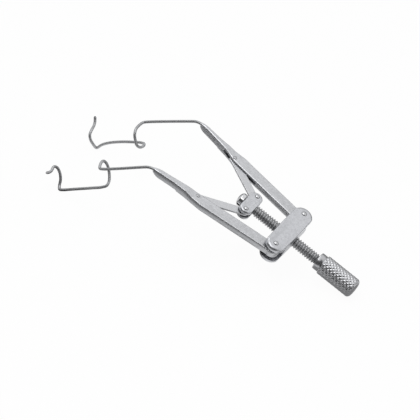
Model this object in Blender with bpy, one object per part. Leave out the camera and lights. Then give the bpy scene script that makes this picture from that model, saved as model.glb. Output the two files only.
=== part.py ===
"""Screw-adjusted wire eye speculum.

Two arms pivot in a rear clevis. Two links join them to a small front clevis, and a threaded
screw turned by a knurled knob moves that clevis along, which spreads or closes two bent wire
blades. Everything is laid out in the mechanism's own frame first: X runs along the screw
towards the knob, Y across the arms and Z out of their plane, with the zero on the screw's
axis between the rear rivets. An empty then tilts the whole assembly into the pose in which it
lies on a table, on the ends of its blades and the rim of its knob.
"""

import math

import bmesh
import bpy
from mathutils import Matrix, Vector

MM = 0.001
SIDES = {"right": 1, "left": -1}

# Fits
RUNNING = 0.05 * MM
SEATING = 0.04 * MM

# Rear yoke: a milled clevis block with rounded lobes
YOKE_LENGTH = 19.2 * MM
YOKE_WIDTH = 5.25 * MM
YOKE_SWELL = 0.11 * MM
YOKE_HEIGHT = 5.4 * MM
YOKE_PLATE = 1.1 * MM
YOKE_WEB = 10.6 * MM
YOKE_LOBE_ROUNDING = 0.45 * MM
YOKE_SIDE_ROUNDING = 0.14 * MM
YOKE_EYE_GAP = 0.3 * MM

# Front yoke: the same block in small
NOSE_YOKE_LENGTH = 8.6 * MM
NOSE_YOKE_WIDTH = 3.5 * MM
NOSE_YOKE_HEIGHT = 3.0 * MM
NOSE_YOKE_PLATE = 0.95 * MM
NOSE_YOKE_WEB = 2.7 * MM
NOSE_YOKE_LOBE_ROUNDING = 0.3 * MM
NOSE_YOKE_SIDE_ROUNDING = 0.12 * MM
NOSE_YOKE_AHEAD = 11.65 * MM
NOSE_RIVET_SPACING = 5.92 * MM

# Arms, measured along each arm from its pivot and outward from its centreline
ARM_ANGLE = math.radians(7.5)
ARM_WIDTH = 3.24 * MM
ARM_THICKNESS = 1.7 * MM
ARM_EYE_RADIUS = 1.8 * MM
ARM_HUB_RADIUS = 1.25 * MM
ARM_ROUNDING = 0.12 * MM
ARM_LENGTH = 35.6 * MM
SHOULDER_BEHIND_TIP = 17.0 * MM
BEND_BEHIND_TIP = 13.6 * MM
TIP_OUTER = 0.33 * MM
TIP_INNER = 0.69 * MM
TIP_ROUNDING = 0.24 * MM
NOSE_BEHIND_TIP = 7.4 * MM
NOSE_UNDERSIDE = -0.38 * MM
NOSE_RAMP = 0.4 * MM
PIVOT_SPACING = YOKE_WEB + 2 * (ARM_EYE_RADIUS + YOKE_EYE_GAP)

# Points of an arm's narrowing, in millimetres: distance behind its tip and from its centreline
OUTER_SHOULDER = ((15.0, 1.46), (13.0, 1.15), (10.2, 0.68), (7.8, 0.4), (5.6, 0.28), (2.6, 0.26))
INNER_SHOULDER = ((11.6, 1.4), (9.8, 1.2), (7.7, 1.03), (5.9, 0.92), (4.1, 0.8), (1.7, 0.7))

# Links
LINK_WIDTH = 2.3 * MM
LINK_THICKNESS = 0.5 * MM
LINK_ROUNDING = 0.07 * MM
LINK_RIVET_BEHIND_TIP = 12.9 * MM
LINK_RIVET_INWARD = 0.72 * MM
LINK_DRIFT = 0.32 * MM

# Saw cut in the inner side of each arm, which takes its link
SAW_RADIUS = 10.0 * MM
SAW_WIDTH = 0.72 * MM
SAW_BEHIND_RIVET = 2.0 * MM
SAW_PAST_RIVET = 1.45 * MM

# Rivets
PIVOT_SHANK = 0.95 * MM
PIVOT_HEAD = 1.25 * MM
PIVOT_HEAD_HEIGHT = 0.24 * MM
NOSE_SHANK = 0.86 * MM
NOSE_HEAD = 1.15 * MM
NOSE_HEAD_HEIGHT = 0.22 * MM
LINK_SHANK = 0.7 * MM
LINK_HEAD = 0.95 * MM
LINK_HEAD_HEIGHT = 0.14 * MM

# Screw
THREAD_DIAMETER = 2.9 * MM
THREAD_DEPTH = 0.36 * MM
THREAD_PITCH = 0.7 * MM
THREAD_CREST = 0.14
NECK_DIAMETER = 1.6 * MM
PEG_DIAMETER = 1.1 * MM
PEG_LENGTH = 1.0 * MM
TAIL_DIAMETER = 2.0 * MM
TAIL_LENGTH = 6.5 * MM

# Swivel cap on the screw's front end
CAP_DIAMETER = 3.6 * MM
CAP_EDGE = 0.12 * MM
CAP_RIM = 0.75 * MM
CAP_DOME = 0.95 * MM

# Knob
KNOB_BEHIND_PIVOTS = 10.1 * MM
COLLAR_DIAMETER = 4.6 * MM
COLLAR_LENGTH = 1.75 * MM
COLLAR_EDGE = 0.25 * MM
GRIP_DIAMETER = 5.3 * MM
GRIP_LENGTH = 10.2 * MM
GRIP_EDGE = 0.55 * MM

# Wire blades
WIRE_DIAMETER = 0.72 * MM
WIRE_SOCKET = 2.2 * MM
WIRE_LIFT = 0.235 * MM
WIRE_LEAD = 1.0 * MM
BLADE_CORNER = {"right": Vector((-47.2, 11.8, -11.26)), "left": Vector((-46.8, 11.8, -11.24))}
BLADE_SLOPE = math.radians(49.8)

# Route of each blade from its corner, in millimetres: forward down the slope, outward, and
# down across the slope
BLADE_ROUTE = {
    "right": (
        (0.0, 0.0, 0.0),
        (0.0, -1.9, -0.15),
        (0.0, -3.9, 0.05),
        (0.0, -5.0, 1.2),
        (0.0, -5.05, 2.9),
        (0.0, -4.2, 4.55),
        (0.15, -2.75, 5.15),
        (1.1, -1.95, 4.95),
        (2.8, -1.95, 4.55),
        (7.2, -2.0, 4.15),
        (11.0, -2.0, 4.2),
        (13.4, -2.1, 4.8),
        (14.7, -2.4, 5.3),
        (15.05, -3.0, 4.5),
        (14.95, -3.25, 2.4),
        (14.85, -2.95, 0.6),
        (14.75, -1.9, -0.25),
        (14.75, -0.15, -0.6),
        (14.7, 0.65, -1.2),
        (14.65, 1.2, -2.05),
    ),
    "left": (
        (0.0, 0.0, 0.0),
        (0.0, -1.2, -0.65),
        (0.0, -2.6, -0.85),
        (0.0, -3.5, -0.05),
        (0.0, -3.75, 1.25),
        (0.0, -3.3, 3.0),
        (0.0, -2.1, 4.6),
        (0.35, -1.0, 5.25),
        (1.6, -0.55, 5.35),
        (5.0, -0.45, 5.3),
        (10.0, -0.4, 5.2),
        (13.7, -0.45, 5.15),
        (14.8, -0.9, 5.1),
        (15.05, -1.7, 4.5),
        (14.65, -2.5, 3.2),
        (14.4, -2.8, 1.5),
        (14.4, -2.45, 0.0),
        (14.55, -1.4, -0.75),
        (14.75, 0.1, -0.45),
        (14.9, 1.5, -0.8),
        (15.0, 2.6, -1.35),
    ),
}

# Facets
TURNED_STEPS = 24
KNOB_STEPS = 28
RIVET_STEPS = 16
THREAD_STEPS = 16
LOBE_STEPS = 12
CURVE_STEPS = 3
ROUTE_STEPS = 4
WIRE_STEPS = 10


def clear_scene():
    for item in list(bpy.data.objects):
        bpy.data.objects.remove(item, do_unlink=True)


def steel(name, colour, roughness):
    material = bpy.data.materials.new(name)
    material.use_nodes = True
    shader = material.node_tree.nodes["Principled BSDF"]
    shader.inputs["Base Color"].default_value = (*colour, 1.0)
    shader.inputs["Metallic"].default_value = 1.0
    shader.inputs["Roughness"].default_value = roughness
    return material


def add_empty(name, parent=None, place=None):
    empty = bpy.data.objects.new(name, None)
    bpy.context.collection.objects.link(empty)
    empty.parent = parent
    if place:
        empty.matrix_local = place
    return empty


def add_mesh(name, shape, parent, place=None, material=None):
    """Turns a bmesh into a named object that stands at a place in its parent's frame."""
    bmesh.ops.remove_doubles(shape, verts=shape.verts, dist=1e-7)
    bmesh.ops.recalc_face_normals(shape, faces=shape.faces)
    mesh = bpy.data.meshes.new(name)
    shape.to_mesh(mesh)
    shape.free()
    if material:
        mesh.materials.append(material)
    item = bpy.data.objects.new(name, mesh)
    bpy.context.collection.objects.link(item)
    item.parent = parent
    if place:
        item.matrix_local = place
    return item


def add_boolean(item, tool, operation):
    """Cuts or joins an object with another, which is kept as a hidden tool."""
    tool.hide_render = True
    tool.display_type = "WIRE"
    boolean = item.modifiers.new(tool.name, "BOOLEAN")
    boolean.operation = operation
    boolean.solver = "EXACT"
    boolean.object = tool


def round_rims(item, width):
    """Rounds the edges by which a prism's flat faces meet its sides."""
    bevel = item.modifiers.new("rounding", "BEVEL")
    bevel.width = width
    bevel.segments = 2
    bevel.limit_method = "ANGLE"
    bevel.angle_limit = math.radians(60.0)


def round_lobes(item, width, side_share, reach):
    """Rounds a block's rims, fully around its lobes and less along its straight sides."""
    shape = bmesh.new()
    shape.from_mesh(item.data)
    weights = shape.edges.layers.float.new("bevel_weight_edge")
    for edge in shape.edges:
        first, second = (vertex.co for vertex in edge.verts)
        if abs(first.z - second.z) > 0.01 * MM:
            continue
        aside = max(0.0, abs(first.y + second.y) / 2 - reach)
        edge[weights] = side_share + (1.0 - side_share) * ease(min(1.0, aside / (2 * width)))
    shape.to_mesh(item.data)
    shape.free()
    bevel = item.modifiers.new("rounding", "BEVEL")
    bevel.width = width
    bevel.segments = 3
    bevel.limit_method = "WEIGHT"


def ease(share):
    return share * share * (3.0 - 2.0 * share)


def arc(centre, radius, start, end, steps):
    """Points of a circular arc in a plane, both ends included."""
    turn = (end - start) / steps
    angles = [start + turn * i for i in range(steps + 1)]
    return [(centre[0] + radius * math.cos(a), centre[1] + radius * math.sin(a)) for a in angles]


def smooth(points, steps):
    """Points of a smooth curve through hand-placed ones, which it keeps."""
    nodes = [Vector(point) for point in points]
    nodes = [2 * nodes[0] - nodes[1]] + nodes + [2 * nodes[-1] - nodes[-2]]
    curve = []
    for before, start, end, after in zip(nodes, nodes[1:], nodes[2:], nodes[3:]):
        gaps = [
            max(1e-9, (second - first).length ** 0.5)
            for first, second in ((before, start), (start, end), (end, after))
        ]
        leave = (start - before) / gaps[0] - (end - before) / (gaps[0] + gaps[1])
        leave = (leave + (end - start) / gaps[1]) * gaps[1]
        arrive = (end - start) / gaps[1] - (after - start) / (gaps[1] + gaps[2])
        arrive = (arrive + (after - end) / gaps[2]) * gaps[1]
        for i in range(steps):
            t = i / steps
            keep = 2 * t**3 - 3 * t**2 + 1
            lead = t**3 - 2 * t**2 + t
            trail = t**3 - t**2
            curve.append(keep * start + (1 - keep) * end + lead * leave + trail * arrive)
    return curve + [nodes[-2]]


def prism(outline, low, high, axis="Z"):
    """Extrudes a flat outline between two heights."""
    shape = bmesh.new()
    face = shape.faces.new([shape.verts.new((x, y, low)) for x, y in outline])
    raised = bmesh.ops.extrude_face_region(shape, geom=[face])
    lifted = [part for part in raised["geom"] if isinstance(part, bmesh.types.BMVert)]
    bmesh.ops.translate(shape, verts=lifted, vec=(0.0, 0.0, high - low))
    if axis == "Y":
        bmesh.ops.rotate(shape, verts=shape.verts, matrix=Matrix.Rotation(math.pi / 2, 3, "X"))
    return shape


def add_rings(shape, profile, steps):
    """Adds rings of vertices around X for (distance along, radius) points, a pole for radius 0."""
    rings = []
    for distance, radius in profile:
        if radius == 0.0:
            rings.append([shape.verts.new((distance, 0.0, 0.0))])
            continue
        angles = [math.tau * (i + 0.5) / steps for i in range(steps)]
        rings.append(
            [shape.verts.new((distance, radius * math.cos(a), radius * math.sin(a))) for a in angles]
        )
    return rings


def join_rings(shape, rings, steps):
    for first, second in zip(rings, rings[1:]):
        for i in range(steps):
            j = (i + 1) % steps
            if len(first) == 1:
                corners = (first[0], second[i], second[j])
            elif len(second) == 1:
                corners = (first[i], first[j], second[0])
            else:
                corners = (first[i], first[j], second[j], second[i])
            shape.faces.new(corners)


def turned(profile, steps, axis="X"):
    """Spins a profile around an axis into a closed solid with flat ends."""
    shape = bmesh.new()
    rings = add_rings(shape, profile, steps)
    join_rings(shape, rings, steps)
    for ring in (rings[0], rings[-1]):
        if len(ring) > 1:
            shape.faces.new(ring)
    if axis == "Z":
        bmesh.ops.rotate(shape, verts=shape.verts, matrix=Matrix.Rotation(-math.pi / 2, 3, "Y"))
    return shape


def dome(start, radius, height, steps):
    """Profile of a domed end that rises from a start, its rim first and its pole last."""
    angles = [math.pi / 2 * i / steps for i in range(steps)]
    rim = [(start + height * math.sin(a), radius * math.cos(a)) for a in angles]
    return rim + [(start + height, 0.0)]


def drill(name, parent, x, y, radius, height):
    """A round cutter that stands through a piece, along Z."""
    shape = turned([(-height, radius), (height, radius)], TURNED_STEPS, "Z")
    return add_mesh(name, shape, parent, Matrix.Translation((x, y, 0.0)))


def add_rivet(name, parent, place, grip, shank, head, head_height, material):
    """A peened rivet with a domed head at each end of its shank, centred on its grip."""
    seat = grip / 2 + SEATING
    top = [(seat, shank / 2)] + dome(seat, head / 2, head_height, 3)
    bottom = [(-distance, radius) for distance, radius in reversed(top)]
    return add_mesh(name, turned(bottom + top, RIVET_STEPS, "Z"), parent, place, material)


def stadium(length, width, swell):
    """Outline of a bar along Y with full round ends and sides that swell in the middle."""
    radius = width / 2
    reach = length / 2 - radius
    flank = [(radius + swell * ease(1 - abs(y)), reach * y) for y in (-0.6, -0.3, 0.0, 0.3, 0.6)]
    upper = arc((0.0, reach), radius, 0.0, math.pi, LOBE_STEPS)
    lower = arc((0.0, -reach), radius, math.pi, math.tau, LOBE_STEPS)
    return flank + upper + [(-x, -y) for x, y in flank] + lower


def add_clevis(name, parent, place, size, swell, plate, web, rounding, material):
    """A rounded block whose two ends are slotted into pairs of plates."""
    length, width, height = size
    outline = stadium(length, width, swell)
    block = add_mesh(name, prism(outline, -height / 2, height / 2), parent, place, material)
    around_lobes, along_sides = rounding
    round_lobes(block, around_lobes, along_sides / around_lobes, (length - width) / 2)
    gap = height / 2 - plate
    for side, sign in SIDES.items():
        corners = [(-width, web / 2), (width, web / 2), (width, length), (-width, length)]
        slot = prism([(x, sign * y) for x, y in corners], -gap, gap)
        add_boolean(block, add_mesh(f"{name}_{side}_slot", slot, block), "DIFFERENCE")
    return block


def add_rear_yoke(parent, material):
    size = (YOKE_LENGTH, YOKE_WIDTH, YOKE_HEIGHT)
    rounding = (YOKE_LOBE_ROUNDING, YOKE_SIDE_ROUNDING)
    yoke = add_clevis(
        "rear_yoke", parent, None, size, YOKE_SWELL, YOKE_PLATE, YOKE_WEB, rounding, material
    )
    for side, sign in SIDES.items():
        bore = drill(
            f"rear_yoke_{side}_bore",
            yoke,
            0.0,
            sign * PIVOT_SPACING / 2,
            PIVOT_SHANK / 2 + SEATING,
            YOKE_HEIGHT,
        )
        add_boolean(yoke, bore, "DIFFERENCE")
    radius = THREAD_DIAMETER / 2 + RUNNING
    screw_hole = turned([(-YOKE_WIDTH, radius), (YOKE_WIDTH, radius)], KNOB_STEPS)
    add_boolean(yoke, add_mesh("rear_yoke_screw_hole", screw_hole, yoke), "DIFFERENCE")
    return yoke


def add_front_yoke(parent, material):
    size = (NOSE_YOKE_LENGTH, NOSE_YOKE_WIDTH, NOSE_YOKE_HEIGHT)
    rounding = (NOSE_YOKE_LOBE_ROUNDING, NOSE_YOKE_SIDE_ROUNDING)
    place = Matrix.Translation((-NOSE_YOKE_AHEAD, 0.0, 0.0))
    yoke = add_clevis(
        "front_yoke", parent, place, size, 0.0, NOSE_YOKE_PLATE, NOSE_YOKE_WEB, rounding, material
    )
    for side, sign in SIDES.items():
        bore = drill(
            f"front_yoke_{side}_bore",
            yoke,
            0.0,
            sign * NOSE_RIVET_SPACING / 2,
            NOSE_SHANK / 2 + SEATING,
            NOSE_YOKE_HEIGHT,
        )
        add_boolean(yoke, bore, "DIFFERENCE")
    radius = NECK_DIAMETER / 2 + RUNNING
    neck_hole = turned([(-NOSE_YOKE_WIDTH, radius), (NOSE_YOKE_WIDTH, radius)], TURNED_STEPS)
    add_boolean(yoke, add_mesh("front_yoke_neck_hole", neck_hole, yoke), "DIFFERENCE")
    return yoke


def arm_outline():
    """Plan of an arm as points along it and outward: eye, straight bar, shoulder, slim nose."""
    half = ARM_WIDTH / 2
    grip = math.asin(half / ARM_EYE_RADIUS)
    eye = arc((0.0, 0.0), ARM_EYE_RADIUS, math.tau - grip, grip, LOBE_STEPS)
    outer = [(ARM_LENGTH - SHOULDER_BEHIND_TIP, half)]
    outer += [(ARM_LENGTH - x * MM, y * MM) for x, y in OUTER_SHOULDER]
    outer.append((ARM_LENGTH - TIP_ROUNDING, TIP_OUTER))
    inner = [(ARM_LENGTH - BEND_BEHIND_TIP, half)]
    inner += [(ARM_LENGTH - x * MM, y * MM) for x, y in INNER_SHOULDER]
    inner.append((ARM_LENGTH - TIP_ROUNDING, TIP_INNER))
    corner = TIP_ROUNDING * 0.3
    blunt = [
        (ARM_LENGTH - corner, TIP_OUTER - corner),
        (ARM_LENGTH, TIP_OUTER - TIP_ROUNDING),
        (ARM_LENGTH, TIP_ROUNDING - TIP_INNER),
        (ARM_LENGTH - corner, corner - TIP_INNER),
    ]
    outer = [tuple(point) for point in smooth(outer, CURVE_STEPS)]
    inner = [(x, -y) for x, y in smooth(inner, CURVE_STEPS)]
    return eye + outer + blunt + inner[::-1]


def link_rivet_on_arm():
    """Place of the link's rivet along the arm and outward from its centreline."""
    return ARM_LENGTH - LINK_RIVET_BEHIND_TIP, -LINK_RIVET_INWARD


def link_rivet_place(sign):
    """Place of the link's rivet in the mechanism's plane."""
    along, outward = link_rivet_on_arm()
    ahead = along * math.cos(ARM_ANGLE) - outward * math.sin(ARM_ANGLE)
    aside = along * math.sin(ARM_ANGLE) + outward * math.cos(ARM_ANGLE)
    return Vector((-ahead, sign * (PIVOT_SPACING / 2 + aside)))


def add_arm(side, pivot, material):
    """An arm in its pivot's frame, where X runs along it and Y inward or outward."""
    out = -SIDES[side]
    name = f"{side}_arm"
    outline = [(x, out * y) for x, y in arm_outline()]
    arm = add_mesh(
        name, prism(outline, -ARM_THICKNESS / 2, ARM_THICKNESS / 2), pivot, None, material
    )
    round_rims(arm, ARM_ROUNDING)
    hub_reach = YOKE_HEIGHT / 2 - YOKE_PLATE - RUNNING
    hub = turned([(-hub_reach, ARM_HUB_RADIUS), (hub_reach, ARM_HUB_RADIUS)], TURNED_STEPS, "Z")
    add_boolean(arm, add_mesh(f"{name}_hub", hub, arm), "UNION")
    pivot_bore = drill(f"{name}_pivot_bore", arm, 0.0, 0.0, PIVOT_SHANK / 2 + RUNNING, YOKE_HEIGHT)
    add_boolean(arm, pivot_bore, "DIFFERENCE")
    along, outward = link_rivet_on_arm()
    link_bore = drill(
        f"{name}_link_bore", arm, along, out * outward, LINK_SHANK / 2 + SEATING, YOKE_HEIGHT
    )
    add_boolean(arm, link_bore, "DIFFERENCE")
    floor = outward + SAW_PAST_RIVET
    saw_centre = (along - SAW_BEHIND_RIVET, out * (floor - SAW_RADIUS))
    disc = arc(saw_centre, SAW_RADIUS, 0.0, math.tau, 4 * LOBE_STEPS)[:-1]
    saw_cut = prism(disc, -SAW_WIDTH / 2, SAW_WIDTH / 2)
    add_boolean(arm, add_mesh(f"{name}_saw_cut", saw_cut, arm), "DIFFERENCE")
    below = -ARM_THICKNESS
    far = ARM_LENGTH + ARM_WIDTH
    nose = ARM_LENGTH - NOSE_BEHIND_TIP
    step = [
        (nose - NOSE_RAMP, below),
        (nose - NOSE_RAMP, -ARM_THICKNESS / 2 - RUNNING),
        (nose, NOSE_UNDERSIDE),
        (far, NOSE_UNDERSIDE),
        (far, below),
    ]
    relief = prism(step, -ARM_WIDTH, ARM_WIDTH, "Y")
    add_boolean(arm, add_mesh(f"{name}_relief", relief, arm), "DIFFERENCE")
    radius = WIRE_DIAMETER / 2 + SEATING
    socket = turned([(-WIRE_SOCKET - SEATING, radius), (WIRE_SOCKET, radius)], TURNED_STEPS)
    place = Matrix.Translation((ARM_LENGTH, out * (TIP_OUTER - TIP_INNER) / 2, WIRE_LIFT))
    add_boolean(arm, add_mesh(f"{name}_socket", socket, arm, place), "DIFFERENCE")
    return arm


def add_link(side, parent, material):
    """A flat link between an arm's rivet and the front yoke's rivet."""
    sign = SIDES[side]
    start = link_rivet_place(sign)
    end = Vector((-NOSE_YOKE_AHEAD, sign * NOSE_RIVET_SPACING / 2))
    reach = (end - start).length
    turn = math.atan2(end.y - start.y, end.x - start.x)
    radius = LINK_WIDTH / 2
    outline = arc((0.0, 0.0), radius, math.pi / 2, 3 * math.pi / 2, LOBE_STEPS)
    outline += arc((reach, 0.0), radius, -math.pi / 2, math.pi / 2, LOBE_STEPS)
    place = Matrix.Translation((start.x, start.y, 0.0)) @ Matrix.Rotation(turn, 4, "Z")
    name = f"{side}_link"
    link = add_mesh(
        name, prism(outline, -LINK_THICKNESS / 2, LINK_THICKNESS / 2), parent, place, material
    )
    round_rims(link, LINK_ROUNDING)
    rear = drill(f"{name}_arm_eye", link, 0.0, 0.0, LINK_SHANK / 2 + RUNNING, ARM_THICKNESS)
    front_radius = NOSE_SHANK / 2 + RUNNING + LINK_DRIFT
    front = drill(f"{name}_yoke_eye", link, reach, 0.0, front_radius, ARM_THICKNESS)
    add_boolean(link, rear, "DIFFERENCE")
    add_boolean(link, front, "DIFFERENCE")
    return link


def add_screw(parent, material):
    """The screw: a peg and neck in front, a right-hand thread, and a tail inside the knob."""
    shape = bmesh.new()
    root = THREAD_DIAMETER / 2 - THREAD_DEPTH
    shoulder = -NOSE_YOKE_AHEAD + NOSE_YOKE_WIDTH / 2 + RUNNING
    neck_end = -NOSE_YOKE_AHEAD - NOSE_YOKE_WIDTH / 2 - RUNNING
    tail = KNOB_BEHIND_PIVOTS - RUNNING
    front = [
        (neck_end - PEG_LENGTH, 0.0),
        (neck_end - PEG_LENGTH, PEG_DIAMETER / 2),
        (neck_end, PEG_DIAMETER / 2),
        (neck_end, NECK_DIAMETER / 2),
        (shoulder, NECK_DIAMETER / 2),
        (shoulder, root),
    ]
    back = [
        (tail, root),
        (tail, TAIL_DIAMETER / 2),
        (tail + TAIL_LENGTH, TAIL_DIAMETER / 2),
        (tail + TAIL_LENGTH, 0.0),
    ]
    front_rings = add_rings(shape, front, THREAD_STEPS)
    back_rings = add_rings(shape, back, THREAD_STEPS)
    join_rings(shape, front_rings, THREAD_STEPS)
    join_rings(shape, back_rings, THREAD_STEPS)
    land = THREAD_PITCH * 0.3
    turns = int((tail - shoulder - 2 * land) / THREAD_PITCH) - 1
    begin = shoulder + (tail - shoulder - (turns + 1) * THREAD_PITCH) / 2
    flank = (1.0 - THREAD_CREST) / 2
    section = ((0.0, 0.0), (flank, 1.0), (flank + THREAD_CREST, 1.0))
    count = turns * THREAD_STEPS
    strip = []
    for i in range(count + 1):
        angle = math.tau * (i + 0.5) / THREAD_STEPS
        fade = min(1.0, 2 * i / THREAD_STEPS, 2 * (count - i) / THREAD_STEPS)
        row = []
        for share, height in section:
            x = begin + THREAD_PITCH * (i / THREAD_STEPS + share)
            radius = root + THREAD_DEPTH * height * ease(fade)
            row.append(shape.verts.new((x, radius * math.cos(angle), radius * math.sin(angle))))
        strip.append(row)
    last = []
    for i in range(count + 1, count + 1 + THREAD_STEPS):
        angle = math.tau * (i + 0.5) / THREAD_STEPS
        x = begin + THREAD_PITCH * i / THREAD_STEPS
        last.append(shape.verts.new((x, root * math.cos(angle), root * math.sin(angle))))
    ends = [row[0] for row in strip] + last
    for i in range(count):
        near = strip[i] + [ends[i + THREAD_STEPS]]
        far = strip[i + 1] + [ends[i + 1 + THREAD_STEPS]]
        for j in range(len(section)):
            shape.faces.new((near[j], far[j], far[j + 1], near[j + 1]))
    first_ring = front_rings[-1]
    for i in range(THREAD_STEPS - 1):
        shape.faces.new((first_ring[i], first_ring[i + 1], ends[i + 1], ends[i]))
    column = strip[0] + [ends[THREAD_STEPS]]
    shape.faces.new([first_ring[0], first_ring[-1], ends[THREAD_STEPS - 1], *column[::-1]])
    last_ring = back_rings[0]
    tails = ends[count : count + THREAD_STEPS + 1]
    turn = count % THREAD_STEPS
    for i in range(1, THREAD_STEPS):
        a = (turn + i) % THREAD_STEPS
        b = (turn + i + 1) % THREAD_STEPS
        shape.faces.new((tails[i], tails[i + 1], last_ring[b], last_ring[a]))
    seam = strip[-1] + [tails[THREAD_STEPS]]
    after = (turn + 1) % THREAD_STEPS
    shape.faces.new([*seam, last_ring[turn], last_ring[after], tails[1]])
    return add_mesh("drive_screw", shape, parent, None, material)


def add_knob(parent, material):
    """The knob: a plain collar in front of a longer grip, bored for the screw's tail."""
    start = KNOB_BEHIND_PIVOTS
    shoulder = start + COLLAR_LENGTH
    end = shoulder + GRIP_LENGTH
    bore = TAIL_DIAMETER / 2 + SEATING
    collar = COLLAR_DIAMETER / 2
    grip = GRIP_DIAMETER / 2
    corner = GRIP_EDGE * 0.3
    profile = [
        (start + TAIL_LENGTH, 0.0),
        (start + TAIL_LENGTH, bore),
        (start, bore),
        (start, collar - COLLAR_EDGE),
        (start + COLLAR_EDGE * 0.3, collar - COLLAR_EDGE * 0.3),
        (start + COLLAR_EDGE, collar),
        (shoulder, collar),
        (shoulder, grip - COLLAR_EDGE),
        (shoulder + COLLAR_EDGE, grip),
        (end - GRIP_EDGE, grip),
        (end - corner, grip - corner),
        (end, grip - GRIP_EDGE),
        (end, 0.0),
    ]
    return add_mesh("knob", turned(profile, KNOB_STEPS), parent, None, material)


def add_cap(parent, material):
    """The domed cap on the screw's peg, which keeps the neck in the front yoke."""
    back = -NOSE_YOKE_AHEAD - NOSE_YOKE_WIDTH / 2 - 2 * RUNNING
    radius = CAP_DIAMETER / 2
    bore = PEG_DIAMETER / 2 + SEATING
    inner = back - PEG_LENGTH
    rim = [(-x, r) for x, r in dome(-back + CAP_RIM, radius, CAP_DOME, 6)]
    profile = [
        (inner, 0.0),
        (inner, bore),
        (back, bore),
        (back, radius - CAP_EDGE),
        (back - CAP_EDGE, radius),
        *rim,
    ]
    return add_mesh("swivel_cap", turned(profile, KNOB_STEPS), parent, None, material)


def blade_route(side):
    """Route of one blade's wire in the mechanism's frame, as if it stood on the right."""
    along = Vector((-math.cos(ARM_ANGLE), math.sin(ARM_ANGLE), 0.0))
    outward = Vector((math.sin(ARM_ANGLE), math.cos(ARM_ANGLE), 0.0))
    root = Vector((0.0, PIVOT_SPACING / 2, WIRE_LIFT)) + outward * (TIP_OUTER - TIP_INNER) / 2
    tip = root + along * ARM_LENGTH
    corner = BLADE_CORNER[side] * MM
    bend = tip + along * WIRE_LEAD
    leg = (corner - bend).normalized()
    forward = Vector((-math.cos(BLADE_SLOPE), 0.0, -math.sin(BLADE_SLOPE)))
    down = Vector((math.sin(BLADE_SLOPE), 0.0, -math.cos(BLADE_SLOPE)))
    hook = [
        corner + (ahead * forward + out * Vector((0.0, 1.0, 0.0)) + below * down) * MM
        for ahead, out, below in BLADE_ROUTE[side]
    ]
    turn = (hook[1] - hook[0]).normalized() - leg
    soft = 0.8 * MM
    leaving = [bend - along * soft, bend + (leg - along) * soft / 4, bend + leg * soft]
    arriving = [corner - leg * MM, corner + turn * 0.25 * MM]
    return [tip - along * (WIRE_SOCKET - SEATING)] + smooth(leaving + arriving + hook[1:], ROUTE_STEPS)


def add_blade(side, parent, material):
    """A wire blade: out of its arm, down a straight leg, then an open hook, a run and a hook."""
    sign = SIDES[side]
    points = blade_route(side)
    curve = bpy.data.curves.new(f"{side}_wire_blade", "CURVE")
    curve.dimensions = "3D"
    curve.bevel_depth = WIRE_DIAMETER / 2
    curve.bevel_resolution = (WIRE_STEPS - 4) // 2
    curve.use_fill_caps = True
    spline = curve.splines.new("POLY")
    spline.points.add(len(points) - 1)
    for item, (x, y, z) in zip(spline.points, points):
        item.co = (x, sign * y, z, 1.0)
    curve.materials.append(material)
    curve.transform(pivot_place(sign).inverted())
    blade = bpy.data.objects.new(f"{side}_wire_blade", curve)
    bpy.context.collection.objects.link(blade)
    blade.parent = parent
    return blade


def pivot_place(sign):
    """Frame of an arm: its origin on the rear rivet's axis, its X along the arm."""
    turn = Matrix.Rotation(math.pi - sign * ARM_ANGLE, 4, "Z")
    return Matrix.Translation((0.0, sign * PIVOT_SPACING / 2, 0.0)) @ turn


def heights(frame, names):
    """Corners of some pieces' evaluated meshes in the mechanism's frame."""
    bpy.context.view_layer.update()
    graph = bpy.context.evaluated_depsgraph_get()
    corners = []
    for name in names:
        item = bpy.data.objects[name].evaluated_get(graph)
        mesh = item.to_mesh()
        place = frame.matrix_world.inverted() @ item.matrix_world
        corners += [place @ vertex.co for vertex in mesh.vertices]
        item.to_mesh_clear()
    return corners


def lowest(corners, tilt):
    return min(point.z * math.cos(tilt) - point.x * math.sin(tilt) for point in corners)


def seat(frame, names):
    """Tilts the assembly until blades and knob touch the table, centred over its origin."""
    blades = heights(frame, [f"{side}_wire_blade" for side in SIDES])
    knob = heights(frame, ["knob"])
    low, high = math.radians(5.0), math.radians(40.0)
    for _ in range(60):
        tilt = (low + high) / 2
        if lowest(blades, tilt) < lowest(knob, tilt):
            low = tilt
        else:
            high = tilt
    turn = Matrix.Rotation(tilt, 4, "Y")
    corners = [turn @ point for point in heights(frame, names)]
    spans = [(min(c[axis] for c in corners), max(c[axis] for c in corners)) for axis in range(3)]
    centre = ((spans[0][0] + spans[0][1]) / 2, (spans[1][0] + spans[1][1]) / 2, spans[2][0])
    frame.matrix_world = Matrix.Translation([-value for value in centre]) @ turn


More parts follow.
